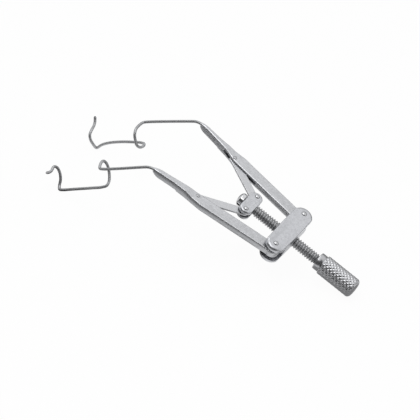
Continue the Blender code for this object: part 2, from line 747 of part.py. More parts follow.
def build():
    clear_scene()
    satin = (0.6, 0.61, 0.63)
    frame = add_empty("assembly")
    carriage = add_empty("carriage", frame)
    pieces = [
        add_rear_yoke(frame, steel("rear_yoke", satin, 0.36)),
        add_front_yoke(carriage, steel("front_yoke", satin, 0.34)),
        add_screw(carriage, steel("drive_screw", satin, 0.3)),
        add_knob(carriage, steel("knob", satin, 0.32)),
        add_cap(carriage, steel("swivel_cap", (0.7, 0.71, 0.73), 0.12)),
    ]
    along, outward = link_rivet_on_arm()
    for side, sign in SIDES.items():
        pivot = add_empty(f"{side}_arm_pivot", frame, pivot_place(sign))
        on_yoke = Matrix.Translation((0.0, sign * PIVOT_SPACING / 2, 0.0))
        on_arm = Matrix.Translation((along, -sign * outward, 0.0))
        on_front = Matrix.Translation((-NOSE_YOKE_AHEAD, sign * NOSE_RIVET_SPACING / 2, 0.0))
        pieces += [
            add_arm(side, pivot, steel(f"{side}_arm", satin, 0.36)),
            add_blade(side, pivot, steel(f"{side}_wire_blade", (0.52, 0.53, 0.55), 0.3)),
            add_link(side, frame, steel(f"{side}_link", satin, 0.33)),
            add_rivet(
                f"{side}_pivot_rivet",
                frame,
                on_yoke,
                YOKE_HEIGHT,
                PIVOT_SHANK,
                PIVOT_HEAD,
                PIVOT_HEAD_HEIGHT,
                steel(f"{side}_pivot_rivet", satin, 0.28),
            ),
            add_rivet(
                f"{side}_link_rivet",
                pivot,
                on_arm,
                ARM_THICKNESS,
                LINK_SHANK,
                LINK_HEAD,
                LINK_HEAD_HEIGHT,
                steel(f"{side}_link_rivet", satin, 0.3),
            ),
            add_rivet(
                f"{side}_front_rivet",
                carriage,
                on_front,
                NOSE_YOKE_HEIGHT,
                NOSE_SHANK,
                NOSE_HEAD,
                NOSE_HEAD_HEIGHT,
                steel(f"{side}_front_rivet", satin, 0.28),
            ),
        ]
    seat(frame, [item.name for item in pieces])


build()
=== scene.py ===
import math

import bmesh
import bpy
from mathutils import Matrix, Vector


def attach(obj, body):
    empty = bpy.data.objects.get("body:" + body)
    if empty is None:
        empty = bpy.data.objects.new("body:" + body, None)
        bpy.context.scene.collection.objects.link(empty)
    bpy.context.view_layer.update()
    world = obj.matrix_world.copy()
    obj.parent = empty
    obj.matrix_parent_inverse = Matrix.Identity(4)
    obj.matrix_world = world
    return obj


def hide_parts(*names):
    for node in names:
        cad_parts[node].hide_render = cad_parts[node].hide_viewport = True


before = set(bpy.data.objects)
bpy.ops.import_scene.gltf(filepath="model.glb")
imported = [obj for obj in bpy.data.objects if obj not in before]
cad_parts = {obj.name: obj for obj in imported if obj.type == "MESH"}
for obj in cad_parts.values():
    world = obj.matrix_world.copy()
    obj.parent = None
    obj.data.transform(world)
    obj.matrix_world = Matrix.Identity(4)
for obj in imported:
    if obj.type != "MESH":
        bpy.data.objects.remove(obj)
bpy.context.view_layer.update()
bpy.context.scene.view_settings.view_transform = "Standard"

# Pieces are built in millimetres in the mechanism's own frame: X along the screw to the knob,
# Y across the arms, Z out of their plane. seatOnTable tips that frame onto the table.
seating = {"tilt": 0.3086621728, "place": (20.282, 0.634, 9.0403)}
seatOnTable = (
    Matrix.Scale(0.001, 4)
    @ Matrix.Translation(seating["place"])
    @ Matrix.Rotation(seating["tilt"], 4, "Y")
)
sides = {"right": 1, "left": -1}


def ease(share):
    # 0 below 0, 1 above 1, and a soft rise between
    share = min(1.0, max(0.0, share))
    return share * share * (3.0 - 2.0 * share)


def between(span, share):
    return span[0] + (span[1] - span[0]) * share


def addObject(name, data):
    item = bpy.data.objects.new(name, data)
    bpy.context.collection.objects.link(item)
    return item


def feed(tree, socket, value):
    # another node's output is linked to the socket, and a plain value is set on it
    if isinstance(value, bpy.types.NodeSocket):
        tree.links.new(value, socket)
    elif value is not None:
        socket.default_value = value


def mathNode(tree, operation, first, second=None, clamp=False):
    node = tree.nodes.new("ShaderNodeMath")
    node.operation = operation
    node.use_clamp = clamp
    feed(tree, node.inputs[0], first)
    feed(tree, node.inputs[1], second)
    return node.outputs[0]


def times(tree, first, second, clamp=False):
    return mathNode(tree, "MULTIPLY", first, second, clamp)


def plus(tree, first, second, clamp=False):
    return mathNode(tree, "ADD", first, second, clamp)


def minus(tree, first, second):
    return mathNode(tree, "SUBTRACT", first, second)


# Camera, table and lights come first, so that every test picture is framed like the photograph
camera = {
    "right": (0.8650, 0.4784, 0.1511),
    "up": (-0.4066, 0.4919, 0.7698),
    "lookedAt": (1.40, -5.35, 10.98),  # millimetres in the row frame
    "distance": 4.0,
    "frameWidth": 0.1047,
    "sensor": 36.0,
    "clip": (0.1, 30.0),
}
lamps = {
    "overheadSoftbox": {
        "direction": (-0.15, 0.02, 0.95), "distance": 0.7, "size": (0.5, 0.3), "power": 1.0,
    },
    "leftSoftbox": {
        "direction": (-0.04, -0.45, 0.86), "distance": 0.36, "size": (0.29, 0.10), "power": 0.20,
    },
}
lampsAimAt = (0.0, 0.0, 0.01)

# Cards round the part, which only gloss sees. Their tone runs out to white at the borders,
# but not at the foot of a side card. Side cards are curved, and their spans are in degrees.
sideCards = {
    "darkSideCard": {
        "tone": 0.09, "radius": 0.4, "azimuth": (-172.0, -2.0), "rise": (-2.0, 72.0),
        "fade": (24.0, 20.0),
    },
    "rearCard": {
        "tone": 0.38, "radius": 0.42, "azimuth": (15.0, 165.0), "rise": (-2.0, 30.0),
        "fade": (30.0, 14.0),
    },
}
tableCards = {
    "darkTableCard": {
        "tone": 0.10, "x": (-0.35, 0.35), "y": (-0.40, -0.024), "fade": (0.05, 0.016),
    },
    # the cards under the part and under the knob are painted shade: in reflections they stand for
    # the shaded table beneath
    "greyUnderCard": {
        "tone": 0.05, "x": (-0.060, 0.019), "y": (-0.019, 0.001), "fade": (0.010, 0.004),
    },
    "greyKnobCard": {
        "tone": 0.36, "x": (0.024, 0.075), "y": (-0.0125, 0.010), "fade": (0.004, 0.003),
    },
    "rearTableCard": {
        "tone": 0.25, "x": (-0.35, 0.35), "y": (0.020, 0.40), "fade": (0.05, 0.01),
    },
}
cardStand = {"steps": 40, "lift": 0.012, "least": 0.0005, "belowFoot": -200.0, "tableLift": 0.0001}
table = {"size": 3.0, "drop": 0.00005, "shade": 0.9, "seenWhite": 0.95}
roomLight = 0.62


def addCamera():
    data = bpy.data.cameras.new("tableCamera")
    data.sensor_width = camera["sensor"]
    data.lens = camera["sensor"] * camera["distance"] / camera["frameWidth"]
    data.clip_start, data.clip_end = camera["clip"]
    item = addObject("tableCamera", data)
    right = Vector(camera["right"]).normalized()
    back = right.cross(Vector(camera["up"])).normalized()
    turn = Matrix((right, back.cross(right), back)).transposed().to_4x4()
    spot = Vector(camera["lookedAt"]) * 0.001 + back * camera["distance"]
    item.matrix_world = Matrix.Translation(spot) @ turn
    bpy.context.scene.camera = item


def addLamp(name, direction, distance, size, power):
    data = bpy.data.lights.new(name, "AREA")
    data.shape = "RECTANGLE"
    data.size, data.size_y = size
    data.energy = power
    item = addObject(name, data)
    away = Vector(direction).normalized()
    item.location = Vector(lampsAimAt) + away * distance
    item.rotation_mode = "QUATERNION"
    item.rotation_quaternion = away.to_track_quat("Z", "Y")


def bareTree(owner, output="ShaderNodeOutputMaterial"):
    # an emptied node tree, and the socket that takes its surface
    owner.use_nodes = True
    owner.node_tree.nodes.clear()
    return owner.node_tree, owner.node_tree.nodes.new(output).inputs["Surface"]


def greyShader(tree, kind, shade, strength=None):
    node = tree.nodes.new(kind)
    node.inputs["Color"].default_value = (shade, shade, shade, 1.0)
    if strength is not None:
        node.inputs["Strength"].default_value = strength
    return node.outputs[0]


def showWhite(tree, surface, lit, white, share):
    # the camera, gloss and glass see this share of the white, and all other rays what is lit
    path = tree.nodes.new("ShaderNodeLightPath").outputs
    seen = mathNode(tree, "MAXIMUM", path["Is Camera Ray"], path["Is Glossy Ray"])
    seen = mathNode(tree, "MAXIMUM", seen, path["Is Transmission Ray"])
    mix = tree.nodes.new("ShaderNodeMixShader")
    for socket, value in zip(mix.inputs, (times(tree, seen, share), lit, white)):
        feed(tree, socket, value)
    tree.links.new(mix.outputs[0], surface)


def addSheet(shape, name):
    mesh = bpy.data.meshes.new(name)
    shape.to_mesh(mesh)
    shape.free()
    material = bpy.data.materials.new(name)
    mesh.materials.append(material)
    return addObject(name, mesh), *bareTree(material)


def addTable():
    # white to the eye and to gloss, with a little of the object's shadow kept
    shape = bmesh.new()
    bmesh.ops.create_grid(shape, x_segments=1, y_segments=1, size=table["size"])
    item, tree, surface = addSheet(shape, "table")
    matt = greyShader(tree, "ShaderNodeBsdfDiffuse", table["shade"])
    glow = greyShader(tree, "ShaderNodeEmission", 1.0, 1.0)
    showWhite(tree, surface, matt, glow, table["seenWhite"])
    item.location.z = -table["drop"]


def addRoom():
    world = bpy.data.worlds.new("studio")
    bpy.context.scene.world = world
    tree, surface = bareTree(world, "ShaderNodeOutputWorld")
    room = greyShader(tree, "ShaderNodeBackground", 1.0, roomLight)
    white = greyShader(tree, "ShaderNodeBackground", 1.0, 1.0)
    showWhite(tree, surface, room, white, 1.0)


def inward(value, span, fade):
    # 0 at either end of a span and 1 from fade inward
    return ease(min(value - span[0], span[1] - value) / fade)


def addCard(name, values, spans, fadeSpans, spot):
    # a sheet over two spans that glows by its tone
    shape = bmesh.new()
    tone = shape.verts.layers.float.new("tone")
    steps = cardStand["steps"]
    rows = []
    for i in range(steps + 1):
        rows.append([])
        for j in range(steps + 1):
            along, aside = between(spans[0], i / steps), between(spans[1], j / steps)
            strength = inward(along, fadeSpans[0], values["fade"][0])
            strength *= inward(aside, fadeSpans[1], values["fade"][1])
            vertex = shape.verts.new(spot(along, aside))
            vertex[tone] = between((1.0, values["tone"]), strength)
            rows[-1].append(vertex)
    for first, second in zip(rows, rows[1:]):
        for corners in zip(first, second, second[1:], first[1:]):
            shape.faces.new(corners)
    item, tree, surface = addSheet(shape, name)
    glow = tree.nodes.new("ShaderNodeEmission")
    shade = tree.nodes.new("ShaderNodeAttribute")
    shade.attribute_name = "tone"
    tree.links.new(shade.outputs["Fac"], glow.inputs["Strength"])
    tree.links.new(glow.outputs[0], surface)
    item.visible_camera = item.visible_diffuse = False
    item.visible_shadow = item.visible_transmission = False


def addSideCard(name, values):
    def spot(turn, rise):
        turn, rise = math.radians(turn), math.radians(rise)
        out = values["radius"] * math.cos(rise)
        height = values["radius"] * math.sin(rise) + cardStand["lift"]
        return out * math.cos(turn), out * math.sin(turn), max(cardStand["least"], height)

    rise = values["rise"]
    fadeSpans = (values["azimuth"], (cardStand["belowFoot"], rise[1]))
    addCard(name, values, (values["azimuth"], rise), fadeSpans, spot)


def addTableCard(name, values):
    spans = (values["x"], values["y"])
    addCard(name, values, spans, spans, lambda x, y: (x, y, cardStand["tableLift"]))


addCamera()
addTable()
addRoom()
for name, values in lamps.items():
    addLamp(name, **values)
for name, values in sideCards.items():
    addSideCard(name, values)
for name, values in tableCards.items():
    addTableCard(name, values)
print("camera, table and lights are up")


# Steel: each surface effect is a node group that several finishes use
def newGroup(name, settings, masks):
    # every group takes a place on the piece and these settings, and gives these masks
    group = bpy.data.node_groups.new(name, "ShaderNodeTree")
    group.interface.new_socket(name="Place", in_out="INPUT", socket_type="NodeSocketVector")
    for label, value in settings.items():
        kind = "NodeSocketVector" if isinstance(value, tuple) else "NodeSocketFloat"
        socket = group.interface.new_socket(name=label, in_out="INPUT", socket_type=kind)
        socket.default_value = value
    for label in masks:
        group.interface.new_socket(name=label, in_out="OUTPUT", socket_type="NodeSocketFloat")
    given, result = group.nodes.new("NodeGroupInput"), group.nodes.new("NodeGroupOutput")
    return group, given.outputs, result.inputs


def feedNode(tree, kind, values, output):
    node = tree.nodes.new(kind)
    for label, value in values.items():
        feed(tree, node.inputs[label], value)
    return node.outputs[output]


def ramp(tree, value, low, high, fromLow, fromHigh):
    spans = {"From Min": fromLow, "From Max": fromHigh, "To Min": low, "To Max": high}
    return feedNode(tree, "ShaderNodeMapRange", {"Value": value, **spans}, "Result")


def noiseNode(tree, place, scale, detail, rough):
    values = {"Vector": place, "Scale": scale, "Detail": detail, "Roughness": rough}
    return feedNode(tree, "ShaderNodeTexNoise", values, "Fac")


def stretch(tree, place, factors):
    node = tree.nodes.new("ShaderNodeVectorMath")
    node.operation = "MULTIPLY"
    feed(tree, node.inputs[0], place)
    feed(tree, node.inputs[1], factors)
    return node.outputs[0]


# How much finer and coarser the other two noises are than the first, and the first's share
grain = {"finer": 3.1, "cloud": 0.3, "fine": 0.65}


def makeSatinGrain():
    # fine blasted grain, drawn out along the stroke of the finishing wheel, over soft clouding
    settings = {"Stroke": (1.0, 1.0, 1.0), "Fineness": 6.0, "Clouding": 0.5}
    group, given, result = newGroup("satinGrain", settings, ("Tone", "Height"))
    place, fineness = given["Place"], given["Fineness"]
    drawn = stretch(group, place, given["Stroke"])
    fine = noiseNode(group, drawn, fineness, 3.0, 0.62)
    finer = noiseNode(group, drawn, times(group, fineness, grain["finer"]), 2.0, 0.5)
    cloud = noiseNode(group, place, times(group, fineness, grain["cloud"]), 3.0, 0.6)
    mixed = plus(group, times(group, fine, grain["fine"]), times(group, finer, 1 - grain["fine"]))
    clouded = times(group, minus(group, cloud, 0.5), given["Clouding"])
    group.links.new(plus(group, mixed, clouded, True), result["Tone"])
    group.links.new(mixed, result["Height"])
    return group


def makeWearAndPaintedLightMask(name, kept, fineness):
    # a mask that the mesh keeps for each point, broken up so that it isn't even
    group, given, result = newGroup(name, {"Breakup": 0.5}, ("Mask",))
    mask = group.nodes.new("ShaderNodeAttribute")
    mask.attribute_name = kept
    patches = noiseNode(group, given["Place"], fineness, 3.0, 0.6)
    left = minus(group, 1.0, times(group, patches, given["Breakup"]))
    group.links.new(times(group, mask.outputs["Fac"], left, True), result["Mask"])
    return group


# Two crossing sets of streaks: how they lie and are drawn out, and what of the noise is a scratch
scratches = {
    "tip": (0.2, 0.1), "turns": (0.35, -0.9), "drawn": (0.12, 4.0, 4.0), "floor": 0.72,
    "sharp": 3.0,
}


def makeHairScratches():
    # sparse hair scratches from trays and cloths
    settings = {"Spacing": 0.5, "Sparse": 0.86}
    group, given, result = newGroup("hairScratches", settings, ("Mask",))
    floor = times(group, given["Sparse"], scratches["floor"])
    lines = []
    for turn in scratches["turns"]:
        mapping = group.nodes.new("ShaderNodeMapping")
        mapping.inputs["Rotation"].default_value = (*scratches["tip"], turn)
        group.links.new(given["Place"], mapping.inputs["Vector"])
        drawn = stretch(group, mapping.outputs["Vector"], scratches["drawn"])
        streak = noiseNode(group, drawn, given["Spacing"], 4.0, 0.75)
        peaks = ramp(group, streak, 0.0, 1.0, floor, 1.0)
        lines.append(times(group, peaks, scratches["sharp"], True))
    group.links.new(mathNode(group, "MAXIMUM", *lines), result["Mask"])
    return group


# Convex edges are burnished by handling and given a painted highlight, and the bottoms of threads,
# knurls and rivet seats get painted shade
satinGrain = makeSatinGrain()
rubbedEdgeAndHighlight = makeWearAndPaintedLightMask("rubbedEdgeAndHighlight", "edge", 2.3)
hairScratches = makeHairScratches()
paintedRootShade = makeWearAndPaintedLightMask("paintedRootShade", "deep", 1.7)

# Each finish: colour, roughness, the grain's stroke and fineness, and how much each effect shows
finishes = {
    "blockSatin": {
        "colour": (0.514, 0.522, 0.545), "rough": 0.38, "stroke": (1.0, 0.45, 1.0), "fineness": 5.5,
        "mottle": 0.19, "bump": 0.22, "edgeWearAndHighlight": 0.5, "scratch": 0.25, "roots": 0.8,
    },
    "armSatin": {
        "colour": (0.525, 0.532, 0.550), "rough": 0.38, "stroke": (0.3, 1.0, 1.0), "fineness": 5.5,
        "mottle": 0.22, "bump": 0.22, "edgeWearAndHighlight": 0.5, "scratch": 0.25, "roots": 0.8,
    },
    "linkStrip": {
        "colour": (0.535, 0.541, 0.558), "rough": 0.36, "stroke": (0.22, 1.0, 1.0), "fineness": 6.0,
        "mottle": 0.10, "bump": 0.12, "edgeWearAndHighlight": 0.4, "scratch": 0.3, "roots": 0.0,
    },
    "rivetHead": {
        "colour": (0.56, 0.565, 0.58), "rough": 0.24, "stroke": (1.0, 1.0, 1.0), "fineness": 7.0,
        "mottle": 0.08, "bump": 0.08, "edgeWearAndHighlight": 0.3, "scratch": 0.2, "roots": 0.9,
    },
    "flushRivet": {
        "colour": (0.47, 0.475, 0.49), "rough": 0.4, "stroke": (1.0, 1.0, 1.0), "fineness": 7.0,
        "mottle": 0.16, "bump": 0.16, "edgeWearAndHighlight": 0.3, "scratch": 0.2, "roots": 0.9,
    },
    "cutThread": {
        "colour": (0.53, 0.535, 0.545), "rough": 0.42, "stroke": (1.0, 0.3, 0.3), "fineness": 6.0,
        "mottle": 0.14, "bump": 0.10, "edgeWearAndHighlight": 0.4, "scratch": 0.1, "roots": 0.35,
    },
    "turnedCollar": {
        "colour": (0.48, 0.485, 0.50), "rough": 0.27, "stroke": (6.0, 0.25, 0.25), "fineness": 3.0,
        "mottle": 0.10, "bump": 0.08, "edgeWearAndHighlight": 0.4, "scratch": 0.2, "roots": 0.0,
    },
    "knurledGrip": {
        "colour": (0.44, 0.445, 0.457), "rough": 0.82, "stroke": (1.0, 1.0, 1.0), "fineness": 7.0,
        "mottle": 0.10, "bump": 0.06, "edgeWearAndHighlight": 0.7, "scratch": 0.0, "roots": 0.95,
    },
    "polishedCap": {
        "colour": (0.60, 0.605, 0.62), "rough": 0.16, "stroke": (5.0, 0.3, 0.3), "fineness": 3.0,
        "mottle": 0.06, "bump": 0.04, "edgeWearAndHighlight": 0.2, "scratch": 0.3, "roots": 0.0,
    },
    "drawnWire": {
        "colour": (0.415, 0.42, 0.43), "rough": 0.48, "stroke": (1.0, 1.0, 1.0), "fineness": 6.0,
        "mottle": 0.07, "bump": 0.04, "edgeWearAndHighlight": 0.0, "scratch": 0.15, "roots": 0.0,
    },
}

# How far the effects go where a finish shows them fully, painted edge highlight and root shade among
# them
wearAndPaintedLight = {
    "clouding": 0.7, "edgeBreakup": 0.55, "rootBreakup": 0.35, "spacing": 1.1, "sparse": 0.9,
    "grainSpan": (0.25, 0.75), "roughSpan": (0.85, 1.2), "paintedEdgeHighlight": 0.28, "scratchTone": 0.16,
    "edgeGloss": 0.14, "rootRough": 0.25, "scratchDepth": 0.3, "bumpDistance": 0.00004,
}
finishMaterials = {}


def steelFinish(name):
    if name in finishMaterials:
        return finishMaterials[name]
    values = finishes[name]
    material = finishMaterials[name] = bpy.data.materials.new(name)
    material.use_nodes = True
    tree = material.node_tree
    shader = tree.nodes["Principled BSDF"]
    shader.inputs["Metallic"].default_value = 1.0
    spot = tree.nodes.new("ShaderNodeAttribute")
    spot.attribute_name = "place"

    def use(group, **settings):
        node = tree.nodes.new("ShaderNodeGroup")
        node.node_tree = group
        tree.links.new(spot.outputs["Vector"], node.inputs["Place"])
        for label, value in settings.items():
            node.inputs[label].default_value = value
        return node.outputs

    grained = use(satinGrain, Stroke=values["stroke"], Fineness=values["fineness"],
                  Clouding=wearAndPaintedLight["clouding"])
    edge = use(rubbedEdgeAndHighlight, Breakup=wearAndPaintedLight["edgeBreakup"])["Mask"]
    scratch = use(hairScratches, Spacing=wearAndPaintedLight["spacing"], Sparse=wearAndPaintedLight["sparse"])["Mask"]
    roots = use(paintedRootShade, Breakup=wearAndPaintedLight["rootBreakup"])["Mask"]

    # tone multiplies the steel's colour: grain, then painted highlight on edges, scratches up,
    # painted shade in roots
    mottle, shine = values["mottle"], values["edgeWearAndHighlight"]
    tone = ramp(tree, grained["Tone"], 1.0 - mottle, 1.0 + mottle, *wearAndPaintedLight["grainSpan"])
    # painted highlight on convex edges, on top of the wear of handling
    lift = plus(tree, times(tree, edge, wearAndPaintedLight["paintedEdgeHighlight"] * shine),
                times(tree, scratch, wearAndPaintedLight["scratchTone"] * values["scratch"]))
    # painted shade in the roots of threads and knurls and in rivet seats
    unshaded = minus(tree, 1.0, times(tree, roots, values["roots"]))
    tone = times(tree, plus(tree, tone, lift), unshaded)
    colour = tree.nodes.new("ShaderNodeVectorMath")
    colour.operation = "SCALE"
    colour.inputs[0].default_value = values["colour"]
    tree.links.new(tone, colour.inputs["Scale"])
    tree.links.new(colour.outputs[0], shader.inputs["Base Color"])

    smooth, coarse = (values["rough"] * share for share in wearAndPaintedLight["roughSpan"])
    rough = ramp(tree, grained["Tone"], smooth, coarse, *wearAndPaintedLight["grainSpan"])
    rough = minus(tree, rough, times(tree, edge, wearAndPaintedLight["edgeGloss"] * shine))
    rough = plus(tree, rough, times(tree, roots, wearAndPaintedLight["rootRough"] * values["roots"]), True)
    tree.links.new(rough, shader.inputs["Roughness"])

    scored = times(tree, scratch, wearAndPaintedLight["scratchDepth"] * values["scratch"])
    bump = tree.nodes.new("ShaderNodeBump")
    bump.inputs["Strength"].default_value = values["bump"]
    bump.inputs["Distance"].default_value = wearAndPaintedLight["bumpDistance"]
    tree.links.new(minus(tree, grained["Height"], scored), bump.inputs["Height"])
    tree.links.new(bump.outputs["Normal"], shader.inputs["Normal"])
    return material


# Mesh tools
def arcPoints(centre, radius, start, end, steps):
    angles = [between((start, end), i / steps) for i in range(steps + 1)]
    return [Vector(centre) + radius * Vector((math.cos(a), math.sin(a))) for a in angles]


def quarterTurn(steps):
    # a rounded rim of radius 1: what is left of it one way, and how far it has come the other
    angles = [math.pi / 2 * i / steps for i in range(steps + 1)]
    return [(1 - math.sin(a), 1 - math.cos(a)) for a in angles]


def smoothLine(points, steps=8):
    # centripetal curve through the points, the same as the part's own routes take
    nodes = [Vector(point) for point in points]
    nodes = [2 * nodes[0] - nodes[1]] + nodes + [2 * nodes[-1] - nodes[-2]]
    line = []
    for before, start, end, after in zip(nodes, nodes[1:], nodes[2:], nodes[3:]):
        gaps = ((before, start), (start, end), (end, after))
        first, middle, last = (max(1e-6, (far - near).length ** 0.5) for near, far in gaps)
        leave = (start - before) / first - (end - before) / (first + middle) + (end - start) / middle
        arrive = (end - start) / middle - (after - start) / (middle + last) + (after - end) / last
        for i in range(steps):
            t = i / steps
            keep = 2 * t**3 - 3 * t**2 + 1
            slopes = (t**3 - 2 * t**2 + t) * leave + (t**3 - t**2) * arrive
            line.append(keep * start + (1 - keep) * end + slopes * middle)
    return line + [nodes[-2]]


def outwardNormals(outline):
    count = len(outline)
    normals = []
    for i, point in enumerate(outline):
        before = (point - outline[i - 1]).normalized()
        after = (outline[(i + 1) % count] - point).normalized()
        along = (before + after).normalized()
        normals.append(Vector((along.y, -along.x)))
    return normals


def joinRings(shape, rings, finish=None):
    # faces between rings of points; a ring of one point gives triangles
    for band, (first, second) in enumerate(zip(rings, rings[1:])):
        count = max(len(first), len(second))
        for i in range(count):
            j = (i + 1) % count
            corners = (first[i % len(first)], second[i % len(second)],
                       second[j % len(second)], first[j % len(first)])
            face = shape.faces.new(list(dict.fromkeys(corners)))
            face.material_index = finish[band] if finish else 0


def softBlock(outline, low, high, rounding, barrel=0.0, rings=6, flanks=4, proud=0.0):
    # a plate with this outline whose rims are rounded, by a radius for each outline point
    shape = bmesh.new()
    if not isinstance(rounding, list):
        rounding = [rounding] * len(outline)
    if sum(first.cross(second) for first, second in zip(outline, outline[1:] + outline[:1])) < 0:
        outline, rounding = outline[::-1], rounding[::-1]
    normals = outwardNormals(outline)
    middle, half = (low + high) / 2, (high - low) / 2
    levels = [[(r * left, half - r * come) for r in rounding] for left, come in quarterTurn(rings)]
    side = [[(0.0, (half - r) * (1 - 2 * i / flanks)) for r in rounding] for i in range(1, flanks)]
    mirrored = [[(inset, -z) for inset, z in level] for level in reversed(levels)]
    loops = []
    for level in levels + side + mirrored:
        loops.append([])
        for point, normal, (inset, z) in zip(outline, normals, level):
            spot = point - normal * (inset + barrel * (z / half) ** 2 - proud)
            loops[-1].append(shape.verts.new((spot.x, spot.y, middle + z)))
    shape.faces.new(loops[0])
    shape.faces.new(loops[-1][::-1])
    joinRings(shape, loops)
    return shape


def turnProfile(shape, profile, steps):
    # rings round X from (distance along, radius) points
    rings = []
    for distance, radius in profile:
        turns = [math.tau * i / steps for i in range(steps if radius > 1e-6 else 1)]
        rings.append([shape.verts.new((distance, radius * math.cos(a), radius * math.sin(a)))
                      for a in turns])
    joinRings(shape, rings)
    return rings


def lathe(profile, steps):
    # a closed solid turned round X
    shape = bmesh.new()
    rings = turnProfile(shape, profile, steps)
    for ring in (rings[0], rings[-1]):
        if len(ring) > 1:
            shape.faces.new(ring)
    return shape


def latheUpright(profile, steps, x=0.0, y=0.0):
    # a closed solid turned round an upright axis through (x, y)
    shape = lathe(profile, steps)
    bmesh.ops.rotate(shape, verts=shape.verts, matrix=Matrix.Rotation(-math.pi / 2, 3, "Y"))
    bmesh.ops.translate(shape, verts=shape.verts, vec=(x, y, 0.0))
    return shape


def toObject(shape, name):
    bmesh.ops.remove_doubles(shape, verts=shape.verts, dist=1e-5)
    bmesh.ops.recalc_face_normals(shape, faces=shape.faces)
    mesh = bpy.data.meshes.new(name)
    shape.to_mesh(mesh)
    shape.free()
    return addObject(name, mesh)


def keepModified(item):
    # the mesh takes over what its modifiers make of it
    bpy.context.view_layer.update()
    graph = bpy.context.evaluated_depsgraph_get()
    made = bpy.data.meshes.new_from_object(item.evaluated_get(graph))
    item.modifiers.clear()
    item.data = made


def cut(item, shape, operation="DIFFERENCE"):
    tool = toObject(shape, "cutter")
    boolean = item.modifiers.new("cut", "BOOLEAN")
    boolean.operation = operation
    boolean.solver = "EXACT"
    boolean.object = tool
    keepModified(item)
    bpy.data.objects.remove(tool, do_unlink=True)


def drill(item, x, y, radius, reach, steps=32):
    cut(item, latheUpright([(-reach, radius), (reach, radius)], steps, x, y))


rivetSeat = {"depth": 0.12, "wide": 0.2, "gap": 0.02, "inside": 0.03}


def sinkSeat(item, x, y, half, head, deeper=0.0):
    # a shallow countersink round a rivet, in both faces
    for side, face in ((1, half), (-1, half + deeper)):
        levels = [(side * (face - rivetSeat["depth"]), head - rivetSeat["gap"]),
                  (side * (face + rivetSeat["gap"]), head + rivetSeat["wide"])]
        cut(item, latheUpright(levels, 40, x, y))
    wide = head + rivetSeat["wide"] - rivetSeat["inside"]
    item["seats"] = list(item.get("seats", [])) + [x, y, wide, half - rivetSeat["gap"]]


def markPoints(item, name, values):
    item.data.attributes.new(name, "FLOAT", "POINT").data.foreach_set("value", values)


def markSeats(item):
    # deep: 1 on what lies inside a rivet's countersink, which the finishes darken as painted shade
    seats = list(item.get("seats", []))
    if not seats:
        return
    values = []
    for vertex in item.data.vertices:
        inside = 0.0
        for x, y, wide, half in zip(seats[0::4], seats[1::4], seats[2::4], seats[3::4]):
            if math.hypot(vertex.co.x - x, vertex.co.y - y) < wide and abs(vertex.co.z) < half:
                inside = 1.0
        values.append(inside)
    markPoints(item, "deep", values)


edgeLimits = {"sharpest": 0.7, "widest": 1.0, "narrowest": 0.02, "from": 0.6, "over": 1.2}


def markEdges(item):
    # edge: 1 on convex roundings tighter than sharpest millimetres, 0 on flats; the finishes lighten
    # it as a painted highlight
    shape = bmesh.new()
    shape.from_mesh(item.data)
    shape.normal_update()
    values = []
    for vertex in shape.verts:
        bend = 0.0
        for edge in vertex.link_edges:
            if len(edge.link_faces) != 2 or not edge.is_convex:
                continue
            wide = min(face.calc_area() / max(1e-6, edge.calc_length()) for face in edge.link_faces)
            if wide < edgeLimits["widest"]:
                bend = max(bend, edge.calc_face_angle(0.0) / max(edgeLimits["narrowest"], wide))
        bend = bend * edgeLimits["sharpest"] - edgeLimits["from"]
        values.append(ease(bend / edgeLimits["over"]))
    shape.free()
    markPoints(item, "edge", values)


def shadeFine(item, angle=34.0):
    # flats stay flat and roundings smooth; the result is kept in the mesh's own normals
    mesh = item.data
    mesh.shade_smooth()
    shape = bmesh.new()
    shape.from_mesh(mesh)
    limit = math.radians(angle)
    for edge in shape.edges:
        edge.smooth = len(edge.link_faces) == 2 and edge.calc_face_angle(0.0) < limit
    shape.to_mesh(mesh)
    shape.free()
    weighted = item.modifiers.new("flats", "WEIGHTED_NORMAL")
    weighted.keep_sharp = True
    weighted.weight = 60
    keepModified(item)


def fitPiece(item, name, body, node, finish, place=None, weighted=True):
    item.name = name
    markSeats(item)
    if weighted:
        markEdges(item)
        shadeFine(item)
    item.data.name = name
    item.data.materials.clear()
    for label in [finish] if isinstance(finish, str) else finish:
        item.data.materials.append(steelFinish(label))
    spots = [component for vertex in item.data.vertices for component in vertex.co]
    item.data.attributes.new("place", "FLOAT_VECTOR", "POINT").data.foreach_set("vector", spots)
    item.data.transform(seatOnTable @ (place or Matrix.Identity(4)))
    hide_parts(node)
    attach(item, body)
    print(name, "made,", len(item.data.polygons), "faces")


# Both yokes: a rounded block, slotted from either end, with two rivets and the screw through it
rivets = {
    "pivot": {"grip": 5.4, "shank": 0.475, "head": 0.625, "headHeight": 0.24},
    "link": {"grip": 1.7, "shank": 0.35, "head": 0.475, "headHeight": 0.07},
    "front": {"grip": 3.0, "shank": 0.43, "head": 0.575, "headHeight": 0.22},
}
rearYoke = {
    "length": 19.2, "width": 5.25, "swell": 0.11, "height": 5.4, "plate": 1.1, "web": 10.6,
    "lobeRounding": 0.72, "sideRounding": 0.2, "slotRounding": 0.03, "barrel": 0.05,
    "rivetSpacing": 14.8, "rivetBore": 0.515, "screwBore": 1.5,
}
frontYoke = {
    "length": 8.6, "width": 3.5, "swell": 0.0, "height": 3.0, "plate": 0.95, "web": 2.7,
    "lobeRounding": 0.52, "sideRounding": 0.16, "slotRounding": 0.03, "barrel": 0.03,
    "ahead": 11.65, "rivetSpacing": 5.92, "rivetBore": 0.47, "screwBore": 0.85,
}


def yokeOutline(values):
    radius = values["width"] / 2
    reach = values["length"] / 2 - radius
    flankSteps = [-0.8, -0.6, -0.4, -0.2, 0.0, 0.2, 0.4, 0.6, 0.8]
    flank = [Vector((radius + values["swell"] * ease(1 - abs(y)), reach * y)) for y in flankSteps]
    upper = arcPoints((0.0, reach), radius, 0.0, math.pi, 40)
    lower = arcPoints((0.0, -reach), radius, math.pi, math.tau, 40)
    return flank + upper + [-point for point in flank] + lower


